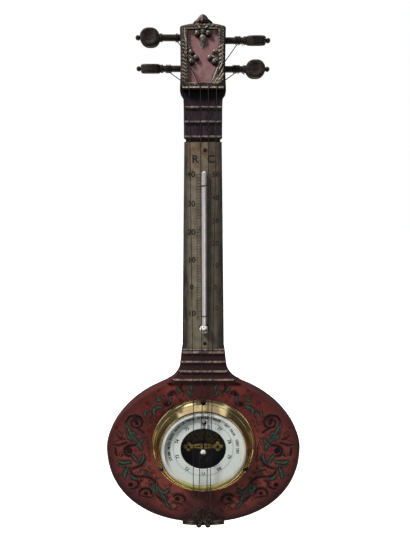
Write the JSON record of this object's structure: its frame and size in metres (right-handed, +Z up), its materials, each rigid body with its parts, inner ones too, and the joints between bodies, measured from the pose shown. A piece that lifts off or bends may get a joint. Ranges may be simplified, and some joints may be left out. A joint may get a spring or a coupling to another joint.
{
  "type": "barometer",
  "caption": "Wall barometer and thermometer in the form of a long-necked lute, with an aneroid dial in the red lacquered body and a mercury scale along the neck.",
  "frame": {"origin": "the point on the wall plane behind the centre of the dial", "axes": "+Z up along the neck, +Y into the wall, +X to the viewer's right"},
  "size_m": [0.237, 0.0494, 0.5916],
  "materials": {
    "lacquer_red": "dark red gloss lacquer over wood",
    "lacquer_dark": "blue-black lacquer over wood",
    "gilt_ridge": "worn gilding",
    "carved_gilt": "antique gilding over carved wood",
    "panel_rose": "dusty rose paint",
    "dark_wood": "dark stained wood",
    "bone": "polished bone",
    "ebonised": "ebonised hardwood, polished",
    "wire": "drawn wire",
    "bronze": "cast bronze, worn",
    "scale_brass": "engraved and lacquered brass",
    "bezel_brass": "polished brass",
    "works_brass": "brushed brass",
    "enamel": "white enamelled metal",
    "black_plate": "black lacquered brass",
    "blued_steel": "blued steel",
    "steel": "bright steel",
    "nickel": "nickel silver",
    "clear_glass": "clear glass",
    "quicksilver": "liquid metal"
  },
  "bodies": {
    "case": {"body_shell": "lacquer_red", "neck_foot_section": "lacquer_red", "foot_ridges": "gilt_ridge", "neck_core": "dark_wood", "neck_top_section": "lacquer_dark", "top_ridges": "gilt_ridge", "head_block": "dark_wood", "head_frame": "carved_gilt", "head_panel": "panel_rose", "top_cluster": "carved_gilt", "side_clusters": "carved_gilt", "finial": "dark_wood", "nut": "bone", "string_1": "wire", "string_2": "wire", "string_3": "wire", "string_4": "wire", "tailpiece": "bronze", "string_pins": "bezel_brass", "scale_plate": "scale_brass", "scale_screws": "bezel_brass", "thermometer_tube": "clear_glass", "mercury": "quicksilver", "tube_clips": "wire", "bezel": "bezel_brass", "bezel_screws": "blued_steel", "glass": "clear_glass", "glass_ring": "bezel_brass", "dial": "enamel", "dial_ring": "bezel_brass", "movement_case": "works_brass", "base_plate": "works_brass", "capsule": "nickel", "spring_bridge": "works_brass", "spring_screws": "blued_steel", "pillars": "works_brass", "top_plate": "black_plate", "shaft_cocks": "works_brass", "chain": "steel", "hairspring": "blued_steel", "arbor_bridge": "works_brass", "bridge_screws": "blued_steel", "hanger_plate": "works_brass", "hanger_screws": "works_brass"},
    "pointer_body": {"pointer": "blued_steel", "pointer_arbor": "steel"},
    "rocker": {"rocking_shaft": "steel"},
    "lever": {"mainspring": "blued_steel", "main_lever": "works_brass"},
    "setting_hand": {"set_hand": "works_brass", "set_knob": "works_brass"},
    "adjuster": {"adjusting_screw": "steel"},
    "tuning_peg_left_upper": {"peg_left_upper": "ebonised", "winding_left_upper": "wire"},
    "tuning_peg_right_upper": {"peg_right_upper": "ebonised", "winding_right_upper": "wire"},
    "tuning_peg_left_lower": {"peg_left_lower": "ebonised", "winding_left_lower": "wire"},
    "tuning_peg_right_lower": {"peg_right_lower": "ebonised", "winding_right_lower": "wire"}
  },
  "joints": [
    {"name": "pointer_turn", "type": "hinge", "parent": "case", "child": "pointer_body", "pos_m": [0, -0.034, 0], "axis": [0, 1, 0], "range_deg": [-150, 150], "stiffness_Nm_per_rad": 0.0001},
    {"name": "rocker_turn", "type": "hinge", "parent": "case", "child": "rocker", "pos_m": [0.01, -0.0233, 0], "axis": [0, 0, 1], "range_deg": [-20.6, 20.6], "deforming": ["chain"]},
    {"name": "lever_turn", "type": "hinge", "parent": "case", "child": "lever", "pos_m": [0, -0.0232, -0.042], "axis": [1, 0, 0], "range_deg": [-1.2, 1.2]},
    {"name": "set_hand_turn", "type": "hinge", "parent": "case", "child": "setting_hand", "pos_m": [0, -0.0435, 0], "axis": [0, 1, 0], "continuous": true},
    {"name": "adjusting_screw_turn", "type": "hinge", "parent": "case", "child": "adjuster", "pos_m": [0, -0.007, -0.036], "axis": [0, 1, 0], "range_deg": [-180, 180]},
    {"name": "peg_left_upper_turn", "type": "hinge", "parent": "case", "child": "tuning_peg_left_upper", "pos_m": [0, -0.024, 0.4582], "axis": [1, 0, 0], "range_deg": [-180, 180]},
    {"name": "peg_right_upper_turn", "type": "hinge", "parent": "case", "child": "tuning_peg_right_upper", "pos_m": [0, -0.024, 0.4555], "axis": [1, 0, 0], "range_deg": [-180, 180]},
    {"name": "peg_left_lower_turn", "type": "hinge", "parent": "case", "child": "tuning_peg_left_lower", "pos_m": [0, -0.024, 0.4286], "axis": [1, 0, 0], "range_deg": [-180, 180]},
    {"name": "peg_right_lower_turn", "type": "hinge", "parent": "case", "child": "tuning_peg_right_lower", "pos_m": [0, -0.024, 0.4281], "axis": [1, 0, 0], "range_deg": [-180, 180]}
  ],
  "couplings": [
    {"joint": "rocker_turn", "follows": "pointer_turn", "ratio": -0.13636},
    {"joint": "lever_turn", "follows": "pointer_turn", "ratio": -0.0072727}
  ]
}
